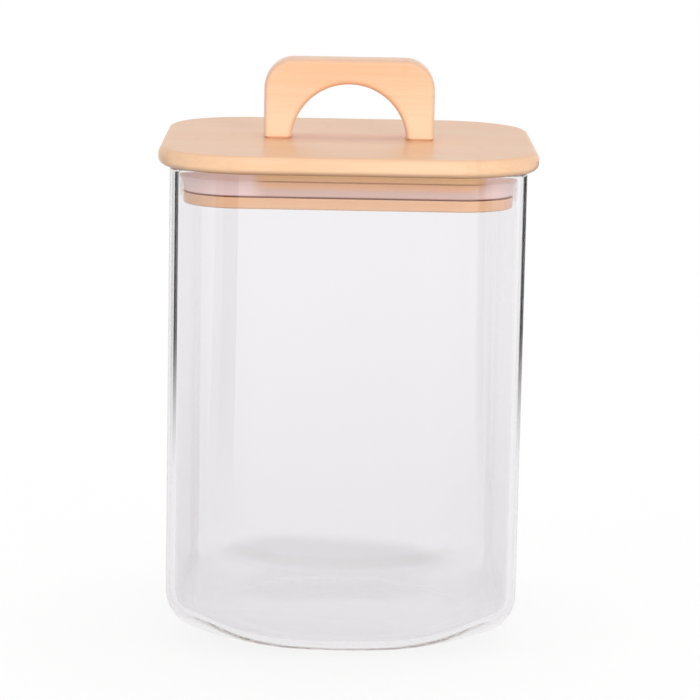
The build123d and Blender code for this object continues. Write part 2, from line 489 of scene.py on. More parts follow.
def bamboo_finish(name, bamboo, stack, strip, seed, gloss, deepening, painted_edge_shade=0.0, shaded=0.0):
    """Lacquered bamboo in glued strips along X, which are stacked along Y or Z.

    The gloss is the strength of the lacquer's mirror. The share after the deepening lays painted shade and
    sheen on the rounded edges of the front and back, and shaded lays a painted shadow along the lower edge.
    """
    graph = MaterialGraph(name)
    x, y, z = graph.axes(1 / MM)
    across = {"Y": y, "Z": z}[stack] + seed
    sway = graph.noise(x * 0.015, y * 0.02 + seed, z * 0.02)
    place = (across + sway * 0.8) / (strip / MM)
    index = math.floor(place)
    tone = graph.chance(index + seed)
    seam = abs(place - index - 0.5).fade(*SEAM)

    fibres = graph.noise(x * 0.018, y * 0.9 + seed, z * 0.9, detail=4.0, roughness=0.62)
    vessels = graph.noise(x * 0.09, y * 3.2, z * 3.2 + seed, detail=1.0).fade(*VESSELS)
    clouds = graph.noise(x * 0.03 + seed, y * 0.06, z * 0.06, detail=1.0)

    joint_phase = (x + tone * JOINT_GAP + sway * 3.0) / JOINT_GAP
    joint_place = abs(joint_phase - math.floor(joint_phase) - 0.5) * JOINT_GAP
    joint = 1 - joint_place.fade(*JOINT_WIDTH)

    level = deepening.light + z.fade(deepening.low, deepening.high) * (deepening.dark - deepening.light)
    depth = (level + (tone - 0.5) * 0.3 + (fibres - 0.5) * 0.6 + (clouds - 0.5) * 0.4).fade(0.0, 1.0)
    wood = graph.blend(depth, bamboo.pale, bamboo.deep)
    marks = (vessels * 0.16 + seam * 0.1 + joint * 0.12).least(0.3)
    wood = graph.blend(marks, wood, bamboo.fibre)

    frontward, upward = graph.split(graph.node("ShaderNodeTexCoord", output="Normal"))[1:]
    front = abs(frontward)
    # Painted shade and sheen on the rounded edges of the front and back
    rounded = (1 - front).fade(*ROUND_START) * (0.15 + front.fade(*ROUND_END) * 0.85)
    wood = graph.blend(rounded * painted_edge_shade, wood, bamboo.edge)
    # Painted shadow on the lower round of the board, but not on its flat underside
    under_low, under_high = [BOARD_LOW.z / MM + rise for rise in UNDER_SHADOW_RISE]
    under = (1 - z.fade(under_low, under_high)) * upward.fade(*UNDER_SLOPE)
    wood = graph.blend(under * shaded, wood, bamboo.under)

    relief = fibres * 0.5 - vessels * 0.6 - seam * 0.4 - joint * 0.3
    lacquer = graph.node(
        "ShaderNodeBsdfPrincipled",
        inputs={
            "Base Color": wood,
            "Roughness": bamboo.gloss + fibres * 0.08 + vessels * 0.12,
            "IOR": 1.5,
            "Specular IOR Level": gloss,
            "Normal": graph.bump(relief, 0.12, 0.1 * MM),
        },
    )
    return graph.finish(Surface=lacquer)


# Where the looks of the silicone begin and where they are full, in millimetres: up from the groove's floor,
# where painted shade lies, out from the middle of the backed stretch on each side, and up from the lip's
# edge to its cut end, which is painted lighter, and off that edge, where a line of painted shade lies
SHADED_RISE = (0.1, 1.0)
WARM_RISE = (2.2, 4.2)
BACKED_MIDDLE = 7.0
BACKED_REACH = (33.0, 40.0)
LIT_END_RISE = 0.2
TIP_SHADE_WIDTH = (0.1, 0.4)


def silicone_finish(seal):
    """Translucent silicone, whose thin lip lets the wood show through on each side.

    It has painted shade in the groove and along the lip's edge, and painted light on the lip's cut end.
    """
    graph = MaterialGraph("silicone")
    x, y, z = graph.axes(1 / MM)
    rise = z - SEAL_LOW.z / MM
    on_front = abs(y) > abs(x)
    along = (1 - on_front) * y * x.sign() - on_front * x * y.sign()
    cloud = graph.noise(x * 0.15, y * 0.15, z * 0.4)
    thin = (1 - abs(along - BACKED_MIDDLE).fade(*BACKED_REACH)) * (0.8 + cloud * 0.25)
    tip = seal.lip_height / MM
    tint = graph.blend(thin, seal.pale, seal.backed)
    # Painted shade in the crevice at the foot of the seal
    tint = graph.blend(rise.fade(*SHADED_RISE), seal.shaded, tint)
    tint = graph.blend(thin * rise.fade(*WARM_RISE), tint, seal.warm)
    # Painted light: the lip's cut end is painted lighter, as if lit
    tint = graph.blend(thin * rise.fade(tip, tip + LIT_END_RISE), tint, seal.end)
    # Painted shade: a dark line along the lip's edge, where it meets the glass
    tint = graph.blend(thin * (1 - abs(rise - tip).fade(*TIP_SHADE_WIDTH)), tint, seal.tip)
    grain = graph.noise(x * 4.0, y * 4.0, z * 4.0)
    rubber = graph.node(
        "ShaderNodeBsdfPrincipled",
        inputs={
            "Base Color": tint,
            "Roughness": 0.34 + grain * 0.1,
            "IOR": 1.41,
            "Specular IOR Level": 1.0,
            "Subsurface Weight": 0.2,
            "Subsurface Radius": (1.0 * MM, 0.7 * MM, 0.6 * MM),
            "Subsurface Scale": 1.0,
            "Normal": graph.bump(grain, 0.05, 0.05 * MM),
        },
    )
    return graph.finish(Surface=rubber)


def steel_finish(screws):
    """Plated steel with fine turning marks round each screw and dull patches."""
    graph = MaterialGraph("screw_steel")
    x, y, z = graph.axes(1 / MM)
    off_axis = abs(x) - screw_reach(screws) / MM
    rings = graph.noise((off_axis**2.0 + y**2.0) ** 0.5 * 9.0, 0.0, z * 2.0)
    patches = graph.noise(x * 0.5, y * 0.5, z * 0.5).fade(0.35, 0.75)
    tint = graph.blend(patches, screws.steel, screws.dull)
    steel = graph.node(
        "ShaderNodeBsdfPrincipled",
        inputs={
            "Base Color": tint,
            "Metallic": 1.0,
            "Roughness": 0.24 + patches * 0.15 + rings * 0.1,
            "Normal": graph.bump(rings, 0.15, 0.03 * MM),
        },
    )
    return graph.finish(Surface=steel)


def evenly(start, stop, steps):
    """Values from start to stop in equal steps, with both ends."""
    return [start + (stop - start) * step / steps for step in range(steps + 1)]


def rounded_square(half, corner):
    """Points and outward normals round a square with round corners, anticlockwise from the +X side."""
    straight = half - corner
    ring = []
    for quarter in range(4):
        turn = Matrix.Rotation(quarter * QUARTER_TURN, 3, "Z")
        for step in range(SIDE_STEPS):
            along = straight * (2 * step / SIDE_STEPS - 1)
            ring.append((turn @ Vector((half, along, 0)), turn @ Vector((1, 0, 0))))
        for step in range(CORNER_STEPS):
            bearing = QUARTER_TURN * step / CORNER_STEPS
            facing = Vector((math.cos(bearing), math.sin(bearing), 0))
            centre = Vector((straight, straight, 0))
            ring.append((turn @ (centre + facing * corner), turn @ facing))
    return ring


def square_rings(half, corner, profile):
    """Rings of points for a profile of insets and heights, carried round a square with round corners."""
    rings = []
    for inset, height in profile:
        ring = rounded_square(half - inset, corner - inset)
        rings.append([point + UP * height for point, facing in ring])
    return rings


def lower_round(radius, low):
    """Insets and heights from a flat underside out to an upright side."""
    bearings = evenly(0, QUARTER_TURN, ROUND_STEPS)
    return [(radius * (1 - math.sin(b)), low + radius * (1 - math.cos(b))) for b in bearings]


def upper_round(radius, high):
    """Insets and heights from an upright side in to a flat top."""
    bearings = evenly(0, QUARTER_TURN, ROUND_STEPS)
    return [(radius * (1 - math.cos(b)), high - radius * (1 - math.sin(b))) for b in bearings]


def circle(x, radius, height):
    """Points of a level circle whose centre is on the X axis."""
    bearings = evenly(0, 4 * QUARTER_TURN, HOLE_STEPS)[:-1]
    return [Vector((x + radius * math.cos(b), radius * math.sin(b), height)) for b in bearings]


def loft(bm, rings, skipped=()):
    """Join rings of equal length with quads, apart from the skipped spans, and return their vertices."""
    rows = [[bm.verts.new(point) for point in ring] for ring in rings]
    for low, high in zip(rows, rows[1:]):
        for here in range(len(low)):
            there = (here + 1) % len(low)
            if here not in skipped:
                bm.faces.new((low[here], low[there], high[there], high[here]))
    return rows


def cover(bm, *loops):
    """Fill the flat area inside the first loop of vertices and outside the others."""
    edges = []
    for loop in loops:
        for pair in zip(loop, loop[1:] + loop[:1]):
            edges.append(bm.edges.get(pair) or bm.edges.new(pair))
    bmesh.ops.triangle_fill(bm, use_beauty=True, edges=edges)


def fan(bm, ring, centre):
    """Close a ring of vertices on one point in its middle."""
    pole = bm.verts.new(centre)
    for here, there in zip(ring, ring[1:] + ring[:1]):
        bm.faces.new((here, there, pole))


def finish_mesh(name, bm, material, normals=None):
    """Turn a bmesh into a smooth object at the origin, with its edges kept crisp or with given normals."""
    bmesh.ops.recalc_face_normals(bm, faces=bm.faces)
    mesh = bpy.data.meshes.new(name)
    bm.to_mesh(mesh)
    bm.free()
    mesh.shade_smooth()
    if normals:
        mesh.normals_split_custom_set_from_vertices(normals)
    else:
        mesh.set_sharp_from_angle(angle=SHARP_ANGLE)
    mesh.materials.append(material)
    piece = bpy.data.objects.new(name, mesh)
    bpy.context.scene.collection.objects.link(piece)
    return piece


def screw_reach(screws):
    """From the middle of the handle out to the axis of each screw."""
    return (SCREWS_HIGH.x - SCREWS_LOW.x - screws.head) / 2


def screw_places(screws):
    """X of each screw's axis."""
    return (-screw_reach(screws), screw_reach(screws))


def hole_radius(screws):
    """Radius of the hole round a screw's shank."""
    return screws.shank / 2 + screws.clearance


def drill(bm, rows, screws, levels):
    """Bore a block for both screws, and close its underside and top round the holes.

    The rows are the block's sides from below, and the levels are a bore's radii and heights from below.
    """
    bores = []
    for x in screw_places(screws):
        bores.append(loft(bm, [circle(x, radius, height) for radius, height in levels]))
    for end in (0, -1):
        cover(bm, rows[end], *[bore[end] for bore in bores])


def base_profile(jar, inset, lift, point, facing):
    """Points and normals down one line of a jar skin, from the wall over the heel to beside the middle.

    A ball of the heel's radius touches the wall and the crown, and its underside is the heel. The push-up
    is two arcs of one radius that run into each other halfway.
    """
    heel = jar.heel - inset
    crown = jar.crown - lift
    foot = jar.width / 2 - jar.foot_inset
    ring_inner = foot - jar.foot_ring
    plan = point - facing * heel
    outward = plan.normalized()
    ball = plan + UP * (jar.crown - math.sqrt((crown - heel) ** 2 - (plan.length - foot) ** 2))
    hub = outward * foot + UP * jar.crown
    down = (ball - hub).normalized()
    line = []
    for share in evenly(0, 1, HEEL_STEPS):
        turned = facing.slerp(down, share)
        line.append((ball + turned * heel, turned))
    tilt = math.acos(-down.z)
    for share in evenly(0, 1, CROWN_STEPS)[1:]:
        lean = tilt * (1 - share)
        turned = outward * math.sin(lean) - UP * math.cos(lean)
        line.append((hub + turned * crown, turned))
    dome = (ring_inner**2 + jar.push_up**2) / (4 * jar.push_up)
    for share in evenly(0, 1, PUSH_STEPS)[:-1]:
        reach = ring_inner * (1 - share)
        bow = min(reach, ring_inner - reach)
        rise = dome - math.sqrt(dome**2 - bow**2)
        height = jar.push_up - rise if reach == bow else rise
        line.append((outward * reach + UP * (lift + height), -(outward * bow + UP * (dome - rise)) / dome))
    return line


def jar_rings(jar):
    """Points and normals of the jar, up its outside, over the rim and down its hollow."""
    half = jar.width / 2
    rim_round = (jar.wall - jar.rim_land) / 2
    outer = rounded_square(half, jar.corner)
    inner = rounded_square(half - jar.wall, jar.corner - jar.wall)
    outside = list(zip(*[base_profile(jar, 0, 0, *spot) for spot in outer]))
    hollow = list(zip(*[base_profile(jar, jar.wall, jar.base, *spot) for spot in inner]))
    hollow = [[(point, -facing) for point, facing in ring] for ring in hollow]
    shoulder = jar.height - rim_round

    def wall_rings(lowest):
        rings = []
        for share in evenly(0, 1, WALL_STEPS)[1:-1]:
            rings.append([(point.lerp(Vector((point.x, point.y, shoulder)), share), facing)
                          for point, facing in lowest])
        return rings

    rim = []
    for step in range(2 * ROUND_STEPS + 2):
        over = step > ROUND_STEPS
        bearing = QUARTER_TURN * (step - over) / ROUND_STEPS
        inset = rim_round * (1 - math.cos(bearing)) + over * jar.rim_land
        height = shoulder + rim_round * math.sin(bearing)
        plan = rounded_square(half - inset, jar.corner - inset)
        rim.append([(point + UP * height, facing * math.cos(bearing) + UP * math.sin(bearing))
                    for point, facing in plan])
    outer_wall = wall_rings(outside[0])
    inner_wall = wall_rings(hollow[0])
    return [*reversed(outside), *outer_wall, *rim, *reversed(inner_wall), *hollow]


def seal_inside(lid, seal):
    """From the middle of the lid out to the seal's inner face."""
    return (PLUG_HIGH.x - PLUG_LOW.x) / 2 - lid.groove_depth + seal.fit


def seal_section(lid, seal):
    """Outline of the seal's section, as distances from its inner face and heights above the groove."""
    inside = seal_inside(lid, seal)
    foot = (PLUG_HIGH.x - PLUG_LOW.x) / 2 - seal.setback - inside
    tip = (SEAL_HIGH.x - SEAL_LOW.x) / 2 - inside
    run = tip - foot
    rise = seal.lip_height - seal.lip_start
    radius = (run**2 + rise**2) / (2 * run)
    back = radius + seal.lip_thickness
    sweep = math.asin(rise / radius)
    root = math.asin((seal.lip_root - seal.lip_start) / back)
    centre = Vector((foot + radius, seal.lip_start))

    def lip_arc(reach, start, stop):
        bearings = evenly(start, stop, ROUND_STEPS)
        return [centre + Vector((-math.cos(b), math.sin(b))) * reach for b in bearings]

    corners = [
        (seal.band, seal.lip_root),
        (seal.band, seal.band_height),
        (0, seal.band_height),
        (0, 0),
        (foot - seal.foot_ease, 0),
        (foot, seal.foot_ease),
    ]
    lip = lip_arc(radius, 0, sweep) + lip_arc(back, sweep, root)
    return lip + [Vector(corner) for corner in corners]


def bridge_outline(handle, offset, foot_height):
    """Points round the handle's front, moved in by offset, from the left foot over the top to the arch.

    The last point before the arch is the right foot's outer corner.
    """
    half = (HANDLE_HIGH.x - HANDLE_LOW.x) / 2
    low = HANDLE_LOW.z
    shoulder = HANDLE_HIGH.z - handle.corner
    inset_corner = handle.corner - offset
    arch = handle.arch_radius + offset
    spring = math.asin((handle.arch_drop + foot_height) / arch)
    points = [(-half + offset, low + foot_height)]
    for side, start in ((-1, 2 * QUARTER_TURN), (1, QUARTER_TURN)):
        for bearing in evenly(start, start - QUARTER_TURN, SHOULDER_STEPS):
            x = side * (half - handle.corner) + inset_corner * math.cos(bearing)
            points.append((x, shoulder + inset_corner * math.sin(bearing)))
    points.append((half - offset, low + foot_height))
    for bearing in evenly(spring, 2 * QUARTER_TURN - spring, ARCH_STEPS):
        points.append((arch * math.cos(bearing), low - handle.arch_drop + arch * math.sin(bearing)))
    return points


class GeometryGraph(Graph):
    """A Geometry Nodes tree with named inputs, which ends in one mesh with one material."""

    def __init__(self, name, sizes):
        tree = bpy.data.node_groups.new(name, "GeometryNodeTree")
        super().__init__(tree)
        tree.interface.new_socket("Geometry", in_out="INPUT", socket_type="NodeSocketGeometry")
        self.sizes = sizes
        self.sockets = {}
        for label, value in sizes.items():
            self.add_input(label, "NodeSocketInt" if isinstance(value, int) else "NodeSocketFloat")
        self.add_input("Material", "NodeSocketMaterial")
        tree.interface.new_socket("Geometry", in_out="OUTPUT", socket_type="NodeSocketGeometry")
        self.entry = self.node("NodeGroupInput").socket.node

    def add_input(self, label, kind):
        """Give the tree a named input."""
        self.sockets[label] = self.tree.interface.new_socket(label, in_out="INPUT", socket_type=kind)

    def given(self, label):
        """What comes in by a named input."""
        return Signal(self, self.entry.outputs[label])

    def end(self, geometry):
        """Close the tree on a realised mesh with its material."""
        realised = self.node("GeometryNodeRealizeInstances", inputs={"Geometry": geometry})
        inputs = {"Geometry": realised, "Material": self.given("Material")}
        painted = self.node("GeometryNodeSetMaterial", inputs=inputs)
        self.node("NodeGroupOutput", inputs={"Geometry": painted})

    def plain_mesh(self, name, start, material):
        """Run the tree on a start mesh and keep the result as a plain object."""
        piece = bpy.data.objects.new(name, start)
        bpy.context.scene.collection.objects.link(piece)
        modifier = piece.modifiers.new(self.tree.name, "NODES")
        modifier.node_group = self.tree
        for label, value in {**self.sizes, "Material": material}.items():
            modifier[self.sockets[label].identifier] = value
        graph = bpy.context.evaluated_depsgraph_get()
        mesh = bpy.data.meshes.new_from_object(piece.evaluated_get(graph))
        piece.modifiers.remove(modifier)
        bm = bmesh.new()
        bm.from_mesh(mesh)
        bpy.data.objects.remove(piece)
        bpy.data.meshes.remove(mesh)
        return finish_mesh(name, bm, material)


def seal_tree(lid, seal):
    """The seal's section carried round the neck of the plug."""
    sizes = {
        "Path width": 2 * seal_inside(lid, seal),
        "Path corner": lid.plug_corner - lid.groove_depth + seal.fit,
        "Corner points": CORNER_STEPS,
        "Groove floor": SEAL_LOW.z,
    }
    graph = GeometryGraph("seal round the plug", sizes)
    width = graph.given("Path width")
    square = graph.node("GeometryNodeCurvePrimitiveQuadrilateral", inputs={"Width": width, "Height": width})
    rounded = graph.node(
        "GeometryNodeFilletCurve",
        {"mode": "POLY"},
        {"Curve": square, "Count": graph.given("Corner points"), "Radius": graph.given("Path corner")},
    )
    level = graph.node("GeometryNodeSetCurveNormal", {"mode": "Z_UP"}, {"Curve": rounded})
    section = graph.node("GeometryNodeMeshToCurve", inputs={"Mesh": graph.given("Geometry")})
    ring = graph.node("GeometryNodeCurveToMesh", inputs={"Curve": level, "Profile Curve": section})
    lifted = graph.node(
        "GeometryNodeTransform",
        inputs={"Geometry": ring, "Translation": graph.vector(0.0, 0.0, graph.given("Groove floor"))},
    )
    graph.end(lifted)
    return graph


# The screw: how far its grid runs past both ends, which closes them on the axis, the rise over which the
# thread comes in, the flanks of its ridge as shares of the pitch, and the distance at which points merge
OVERRUN = 0.01
END_SHARE = 0.001
THREAD_RISE = 0.8 * MM
FLANKS = (0.1, 0.75)
WELD = 0.001 * MM


def screw_tree(screws):
    """A countersunk screw turned from a grid, with a thread, a point and a cross recess, set twice."""
    sizes = {
        "Head radius": screws.head / 2,
        "Shank radius": screws.shank / 2,
        "Length": SCREWS_HIGH.z - SCREWS_LOW.z,
        "Point": screws.point,
        "Pitch": screws.pitch,
        "Thread depth": screws.thread_depth,
        "Thread start": BOARD_HIGH.z - SCREWS_LOW.z,
        "Recess length": screws.recess_length,
        "Recess width": screws.recess_width,
        "Recess depth": screws.recess_depth,
        "Spacing": 2 * screw_reach(screws),
        "Head height": SCREWS_LOW.z,
    }
    graph = GeometryGraph("threaded screws", sizes)
    size = graph.given
    counts = {"Vertices X": SCREW_TURN_POINTS, "Vertices Y": SCREW_LENGTH_POINTS}
    grid = graph.node("GeometryNodeMeshGrid", inputs={"Size X": 1.0, "Size Y": 1.0, **counts})
    across, along = graph.split(graph.node("GeometryNodeInputPosition"))[:2]
    turn, share = across + 0.5, along + 0.5
    height = (share * (1 + 2 * OVERRUN) - OVERRUN).most(0.0).least(1.0) * size("Length")

    cone = (size("Head radius") - height).most(size("Shank radius"))
    taper = ((size("Length") - height) / size("Point")).least(1.0)
    winding = height / size("Pitch") - turn
    ridge = abs(winding - math.floor(winding) - 0.5) * 2.0
    threaded = (height - size("Thread start")).fade(0.0, THREAD_RISE)
    radius = cone * taper - size("Thread depth") * threaded * taper * (1 - ridge).fade(*FLANKS)
    closed = radius * (share > END_SHARE) * ((1 - share) > END_SHARE)
    bearing = turn * (4 * QUARTER_TURN)
    turned = graph.vector(closed * bearing.cosine(), closed * bearing.sine(), height)
    shaped = graph.node("GeometryNodeSetPosition", inputs={"Geometry": grid, "Position": turned})
    welded = graph.node("GeometryNodeMergeByDistance", inputs={"Geometry": shaped, "Distance": WELD})

    arm_length, arm_width = size("Recess length"), size("Recess width")
    arms = []
    for plan in ((arm_length, arm_width), (arm_width, arm_length)):
        block = graph.vector(*plan, size("Recess depth") * 2.0)
        arms.append(graph.node("GeometryNodeMeshCube", inputs={"Size": block}))
    cutter = {"operation": "DIFFERENCE", "solver": "EXACT"}
    cut = graph.node("GeometryNodeMeshBoolean", cutter, {0: welded, 1: arms})

    ends = graph.node(
        "GeometryNodeMeshLine",
        inputs={
            "Count": 2,
            "Start Location": graph.vector(size("Spacing") * -0.5, 0.0, size("Head height")),
            "Offset": graph.vector(size("Spacing"), 0.0, 0.0),
        },
    )
    pair = graph.node("GeometryNodeInstanceOnPoints", inputs={"Points": ends, "Instance": cut})
    graph.end(pair)
    return graph


class CANISTER_OT_glass_jar(bpy.types.Operator):
    """Build the glass jar with its crowned base and round rim"""

    bl_idname = "canister.glass_jar"
    bl_label = "Glass Jar"

    def execute(self, context):
        jar = context.scene.canister.jar
        rings = jar_rings(jar)
        bm = bmesh.new()
        rows = loft(bm, [[point for point, facing in ring] for ring in rings])
        fan(bm, rows[0], UP * jar.push_up)
        fan(bm, rows[-1], UP * (jar.base + jar.push_up))
        normals = [facing for ring in rings for point, facing in ring] + [-UP, UP]
        piece = finish_mesh("glass_jar_wall", bm, glass_finish(jar), normals)
        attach(piece, "jar")
        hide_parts("glass_jar")
        return {"FINISHED"}


class CANISTER_OT_lid_board(bpy.types.Operator):
    """Build the bamboo board that closes the jar"""

    bl_idname = "canister.lid_board"
    bl_label = "Lid Board"

    def execute(self, context):
        settings = context.scene.canister
        lid, screws, bamboo = settings.lid, settings.screws, settings.bamboo
        half = (BOARD_HIGH.x - BOARD_LOW.x) / 2
        low, high = BOARD_LOW.z, BOARD_HIGH.z
        profile = [
            (lid.under_round + EDGE_STRIP, low),
            *lower_round(lid.under_round, low),
            *upper_round(lid.top_round, high),
            (lid.top_round + EDGE_STRIP, high),
        ]
        bm = bmesh.new()
        rows = loft(bm, square_rings(half, lid.board_corner, profile))
        radius = hole_radius(screws)
        drill(bm, rows, screws, [(radius, low), (radius, high)])
        face = Deepening(low=high / MM - 0.8, high=high / MM - 0.1, light=0.64, dark=0.85)
        # The board's lower edge gets a painted shadow
        finish = bamboo_finish(
            "bamboo_board", bamboo, "Y", bamboo.strip, seed=3.0, gloss=0.3, deepening=face, shaded=0.9
        )
        piece = finish_mesh("lid_board_wood", bm, finish)
        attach(piece, "lid")
        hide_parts("lid_board")
        return {"FINISHED"}


class CANISTER_OT_lid_plug(bpy.types.Operator):
    """Build the bamboo plug with its flange and the neck that holds the seal"""

    bl_idname = "canister.lid_plug"
    bl_label = "Lid Plug"

    def execute(self, context):
        settings = context.scene.canister
        lid, screws, bamboo = settings.lid, settings.screws, settings.bamboo
        half = (PLUG_HIGH.x - PLUG_LOW.x) / 2
        low, floor, high = PLUG_LOW.z, SEAL_LOW.z, PLUG_HIGH.z
        profile = [
            (lid.flange_ease + EDGE_STRIP, low),
            *lower_round(lid.flange_ease, low),
            (0, floor),
            (lid.groove_depth, floor),
            (lid.groove_depth, high),
        ]
        bm = bmesh.new()
        rows = loft(bm, square_rings(half, lid.plug_corner, profile))
        radius = hole_radius(screws)
        mouth = screws.head / 2 + screws.clearance
        drill(bm, rows, screws, [(mouth, low), (radius, low + mouth - radius), (radius, high)])
        even = Deepening(low=low / MM, high=floor / MM, light=0.82, dark=0.82)
        # The flange's rounded edges get painted shade and sheen
        finish = bamboo_finish(
            "bamboo_plug", bamboo, "Y", bamboo.strip, seed=41.0, gloss=0.3, deepening=even, painted_edge_shade=0.25
        )
        piece = finish_mesh("lid_plug_wood", bm, finish)
        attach(piece, "lid")
        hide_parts("lid_plug")
        return {"FINISHED"}


class CANISTER_OT_seal_ring(bpy.types.Operator):
    """Carry the lip seal's section round the plug"""

    bl_idname = "canister.seal_ring"
    bl_label = "Seal Ring"

    def execute(self, context):
        settings = context.scene.canister
        outline = seal_section(settings.lid, settings.seal)
        section = bpy.data.meshes.new("seal section")
        count = len(outline)
        points = [(out, -height, 0) for out, height in outline]
        section.from_pydata(points, [(here, (here + 1) % count) for here in range(count)], [])
        tree = seal_tree(settings.lid, settings.seal)
        piece = tree.plain_mesh("seal_ring_lip", section, silicone_finish(settings.seal))
        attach(piece, "lid")
        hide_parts("seal_ring")
        return {"FINISHED"}


def eased_sole(bm, edge, centre, ease):
    """Bevel a foot's edge down to a smaller loop on the board, and return that loop."""
    reach_x = max(abs(vertex.co.x - centre.x) for vertex in edge)
    reach_y = max(abs(vertex.co.y - centre.y) for vertex in edge)
    sole = []
    for vertex in edge:
        away = vertex.co - centre
        place = Vector((away.x * (1 - ease / reach_x), away.y * (1 - ease / reach_y), 0))
        sole.append(bm.verts.new(centre + place))
    for here in range(len(edge)):
        bm.faces.new((edge[here - 1], edge[here], sole[here], sole[here - 1]))
    return sole


class CANISTER_OT_handle(bpy.types.Operator):
    """Build the bridge handle with its finger arch and blind screw holes"""

    bl_idname = "canister.handle"
    bl_label = "Handle"

    def execute(self, context):
        settings = context.scene.canister
        handle, screws, bamboo = settings.handle, settings.screws, settings.bamboo
        depth = (HANDLE_HIGH.y - HANDLE_LOW.y) / 2
        back = [*upper_round(handle.edge_round, depth), (handle.edge_round + EDGE_STRIP, depth)]
        layers = [(inset, -reach) for inset, reach in reversed(back)] + back
        rings = []
        for offset, y in layers:
            outline = bridge_outline(handle, offset, handle.foot_ease)
            rings.append([Vector((x, y, z)) for x, z in outline])
        right_foot = 2 * (SHOULDER_STEPS + 1) + 1
        last = len(rings[0]) - 1
        bm = bmesh.new()
        rows = loft(bm, rings, skipped=(right_foot, last))
        cover(bm, rows[0])
        cover(bm, rows[-1])
        radius = hole_radius(screws)
        low = HANDLE_LOW.z
        top = low + screws.grip + screws.clearance
        for x, outer, inner in zip(screw_places(screws), (0, right_foot), (last, right_foot + 1)):
            bore = loft(bm, [circle(x, radius, low), circle(x, radius, top)])
            fan(bm, bore[-1], Vector((x, 0, top)))
            edge = [row[outer] for row in rows] + [row[inner] for row in reversed(rows)]
            sole = eased_sole(bm, edge, Vector((x, 0, low)), handle.foot_ease)
            cover(bm, sole, bore[0])
        # Painted light: the handle is paler low down, as if lit by light thrown up from the board, and its
        # rounded edges get painted shade and sheen
        upward = Deepening(low=low / MM, high=HANDLE_HIGH.z / MM, light=0.05, dark=0.9)
        finish = bamboo_finish(
            "bamboo_handle", bamboo, "Z", bamboo.ply, seed=17.0, gloss=0.9, deepening=upward, painted_edge_shade=0.4
        )
        piece = finish_mesh("handle_bridge", bm, finish)
        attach(piece, "lid")
        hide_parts("handle")
        return {"FINISHED"}


class CANISTER_OT_handle_screws(bpy.types.Operator):
    """Turn the two countersunk screws that hold the handle"""

    bl_idname = "canister.handle_screws"
    bl_label = "Handle Screws"

    def execute(self, context):
        screws = context.scene.canister.screws
        start = bpy.data.meshes.new("screw start")
        piece = screw_tree(screws).plain_mesh("handle_screw_pair", start, steel_finish(screws))
        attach(piece, "lid")
        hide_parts("handle_screws")
        return {"FINISHED"}


# Directions from the object to the lamps
KEY_SIDE = (0.18, -0.43, 0.04)
FILL_SIDE = (-0.8, -0.5, 0.2)
TOP_SIDE = (0.1, 0.2, 1.0)

# Half the width of the floor, and the sides with dark lanes, as quarter turns: the back and the front
FLOOR_REACH = 6.0
LANE_SIDES = (0, 2)

# Width of the camera's sensor, in millimetres, and the colours of the surroundings
SENSOR_WIDTH = 36
WHITE = (1.0, 1.0, 1.0, 1.0)
BLACK = (0.0, 0.0, 0.0, 1.0)


def floor_finish(stage, level):
    """White floor that keeps the object's shadow, and is clear from below.

    Where no shadow falls, its matte share at the lamps' level and its glow add up to white.
    """
    graph = MaterialGraph("floor_white")
    matte = graph.node("ShaderNodeBsdfDiffuse", inputs={"Color": opaque(stage.floor)})
    rest = (1 - stage.shadow * level * stage.floor[0]) / (1 - stage.shadow)
    glow = graph.node("ShaderNodeEmission", inputs={"Color": WHITE, "Strength": rest})
    lit = graph.mixed(graph.seen() * (1 - stage.shadow), matte, glow)
    open_below = graph.node("ShaderNodeBsdfTransparent")
    below = graph.node("ShaderNodeNewGeometry", output="Backfacing")
    return graph.finish(Surface=graph.mixed(below, lit, open_below))


def white_world(stage):
    """White all round for the eye, and a softer even light for the surfaces."""
    world = bpy.data.worlds.new("studio")
    world.use_nodes = True
    world.node_tree.nodes.clear()
    graph = Graph(world.node_tree)
    soft = graph.node("ShaderNodeBackground", inputs={"Color": WHITE, "Strength": stage.ambient})
    white = graph.node("ShaderNodeBackground", inputs={"Color": WHITE, "Strength": 1.0})
    graph.node("ShaderNodeOutputWorld", inputs={"Surface": graph.mixed(graph.seen(), soft, white)})
    return world


def broad_lamp(name, level, toward, spread):
    """Add a wide lamp in one direction, and return the light that it gives to the floor.

    A white surface that faces it is lit to the level.
    """
    direction = Vector(toward).normalized()
    data = bpy.data.lights.new(name, "SUN")
    data.energy = level * math.pi
    data.angle = spread
    lamp = bpy.data.objects.new(name, data)
    lamp.location = direction
    lamp.rotation_mode = "QUATERNION"
    lamp.rotation_quaternion = direction.to_track_quat("Z", "Y")
    lamp.visible_glossy = False
    lamp.visible_transmission = False
    bpy.context.scene.collection.objects.link(lamp)
    return level * direction.z


def lane_finish(name, stage, skins):
    """Dark only to light that was mirrored and passed that many skins of glass, for fine dark edges."""
    graph = MaterialGraph(name)
    x, y, z = graph.axes(1.0)
    distance = (x * x + y * y) ** 0.5
    mirrored = graph.light_path("Glossy Depth") > 0.5
    passed = graph.light_path("Transmission Depth").equals(skins)
    dark = graph.node("ShaderNodeBsdfDiffuse", inputs={"Color": BLACK})
    clear = graph.node("ShaderNodeBsdfTransparent")
    far = distance.fade(stage.lane_start, stage.lane_full)
    return graph.finish(Surface=graph.mixed(mirrored * passed * far, clear, dark))


def dark_lane(name, side, near, far, height, stage, finish):
    """A lane over the floor behind one side of the jar, which fans out from the edge of that side."""
    edge = Vector((math.copysign(JAR_HIGH.x, -near), JAR_LOW.y / 2, height))
    turn = Matrix.Rotation(side * QUARTER_TURN, 3, "Z")
    bm = bmesh.new()
    corners = []
    start, end = stage.lane_start, stage.lane_end
    for bearing, reach in ((near, start), (near, end), (far, end), (far, start)):
        away = Vector((-math.sin(bearing), math.cos(bearing), 0))
        corners.append(bm.verts.new(turn @ (edge + away * reach)))
    bm.faces.new(corners)
    lane = finish_mesh(name, bm, finish)
    lane.visible_camera = False
    lane.visible_diffuse = False
    lane.visible_shadow = False


